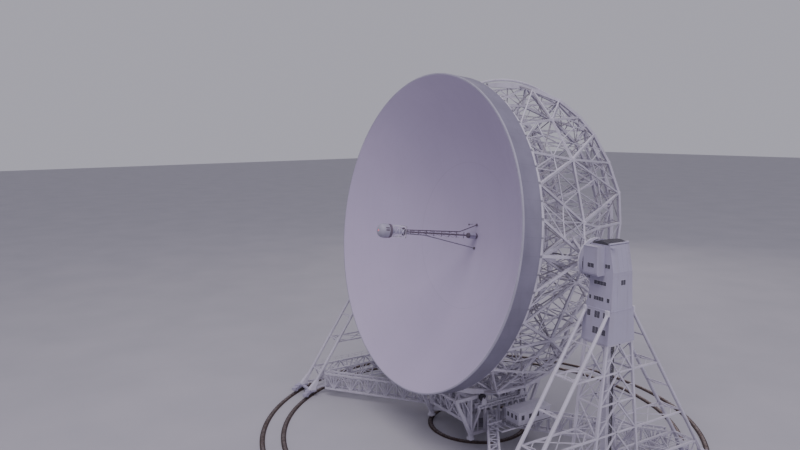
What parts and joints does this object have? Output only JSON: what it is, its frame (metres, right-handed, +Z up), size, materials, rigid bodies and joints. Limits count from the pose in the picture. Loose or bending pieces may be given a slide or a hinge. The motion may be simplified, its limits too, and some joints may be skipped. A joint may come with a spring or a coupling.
{
  "type": "radio telescope dish (1:10 scale model)",
  "caption": "Scale model of a steerable radio telescope: round bowl with a focus mast, curved lattice behind it, tilting between two lattice towers that turn on ring tracks.",
  "frame": {"origin": "on the vertical turning axis, at the underside of the tracks", "axes": "+Z up along the turning axis; +X along the tilting axis, towards the tower with the cabin beside it; the bowl looks towards -Y at rest"},
  "size_m": [11.41, 11.41, 9.0945],
  "materials": {
    "lattice_paint": "satin",
    "panel_paint": "satin",
    "dish_paint": "satin",
    "band_paint": "satin",
    "roof_felt": "matte",
    "track_brown": "rusty",
    "machine_grey": "satin"
  },
  "bodies": {
    "track": {"outer_track": "track_brown", "inner_track": "track_brown", "centre_track": "track_brown", "centre_pivot": "machine_grey"},
    "turntable": {"pivot_spider": "lattice_paint", "centre_frame_front": "lattice_paint", "centre_frame_rear": "lattice_paint", "cabin_deck": "lattice_paint", "control_cabin": "panel_paint", "centre_frame_right": "lattice_paint", "roller_cradle_right": "machine_grey", "base_girder_right": "lattice_paint", "tower_frame_right": "lattice_paint", "lift_shaft_right": "panel_paint", "motor_room_right": "panel_paint", "motor_roof_right": "roof_felt", "rack_hood_right": "panel_paint", "trunnion_bearing_right": "machine_grey", "raking_legs_front_right": "lattice_paint", "raking_legs_rear_right": "lattice_paint", "corner_trucks_front_right": "panel_paint", "corner_trucks_rear_right": "panel_paint", "diametral_girder_front_right": "lattice_paint", "diametral_girder_rear_right": "lattice_paint", "centre_frame_left": "lattice_paint", "roller_cradle_left": "machine_grey", "base_girder_left": "lattice_paint", "tower_frame_left": "lattice_paint", "lift_shaft_left": "panel_paint", "motor_room_left": "panel_paint", "motor_roof_left": "roof_felt", "rack_hood_left": "panel_paint", "trunnion_bearing_left": "machine_grey", "raking_legs_front_left": "lattice_paint", "raking_legs_rear_left": "lattice_paint", "corner_trucks_front_left": "panel_paint", "corner_trucks_rear_left": "panel_paint", "diametral_girder_front_left": "lattice_paint", "diametral_girder_rear_left": "lattice_paint"},
    "bowl": {"dish_surface": "dish_paint", "rim_band": "band_paint", "back_ribs": "lattice_paint", "wheel_lacing": "lattice_paint", "focus_mast": "lattice_paint", "focus_cage": "lattice_paint", "focus_drum": "panel_paint", "wheel_girder_right": "lattice_paint", "flank_truss_right": "lattice_paint", "trunnion_rack_right": "machine_grey", "wheel_girder_left": "lattice_paint", "flank_truss_left": "lattice_paint", "trunnion_rack_left": "machine_grey"}
  },
  "joints": [
    {"name": "azimuth_turn", "type": "hinge", "parent": "track", "child": "turntable", "pos_m": [0, 0, 0], "axis": [0, 0, 1], "range_deg": [-180, 180]},
    {"name": "elevation_tilt", "type": "hinge", "parent": "turntable", "child": "bowl", "pos_m": [0, 0, 5.03], "axis": [-1, 0, 0], "range_deg": [-7.8, 82.2]}
  ]
}
